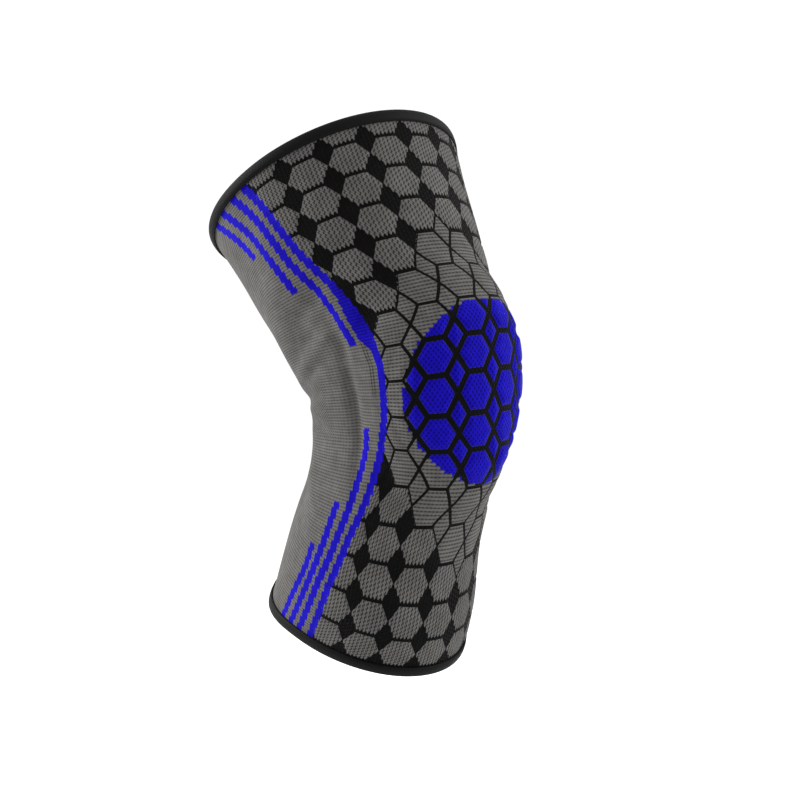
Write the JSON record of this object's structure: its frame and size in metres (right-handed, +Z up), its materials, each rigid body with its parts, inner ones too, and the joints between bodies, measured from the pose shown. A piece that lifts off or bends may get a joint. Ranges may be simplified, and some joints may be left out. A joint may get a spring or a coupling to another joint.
{
  "type": "knitted knee sleeve with padded knee panel",
  "caption": "Elastic knitted knee sleeve, bent as worn, open at thigh and calf, with a raised padded panel over the kneecap and a folded binding on each rim.",
  "frame": {"origin": "middle of the knee, on the line down the middle of the leg, where the leg holds the sleeve up", "axes": "+Z up along the standing leg towards the thigh, -Y towards the front of the knee, +X to the right of someone facing the front"},
  "size_m": [0.158, 0.2, 0.3239],
  "materials": {
    "grey_knit": "matte elastic jacquard knit, grey with black and blue yarn",
    "blue_knit": "thick padded knit, bright blue with black outlines",
    "black_welt": "smooth matte elastic welt"
  },
  "bodies": {
    "root": {"knit_sleeve": "grey_knit", "knee_pad": "blue_knit", "thigh_hem": "black_welt", "calf_hem": "black_welt"}
  },
  "joints": []
}
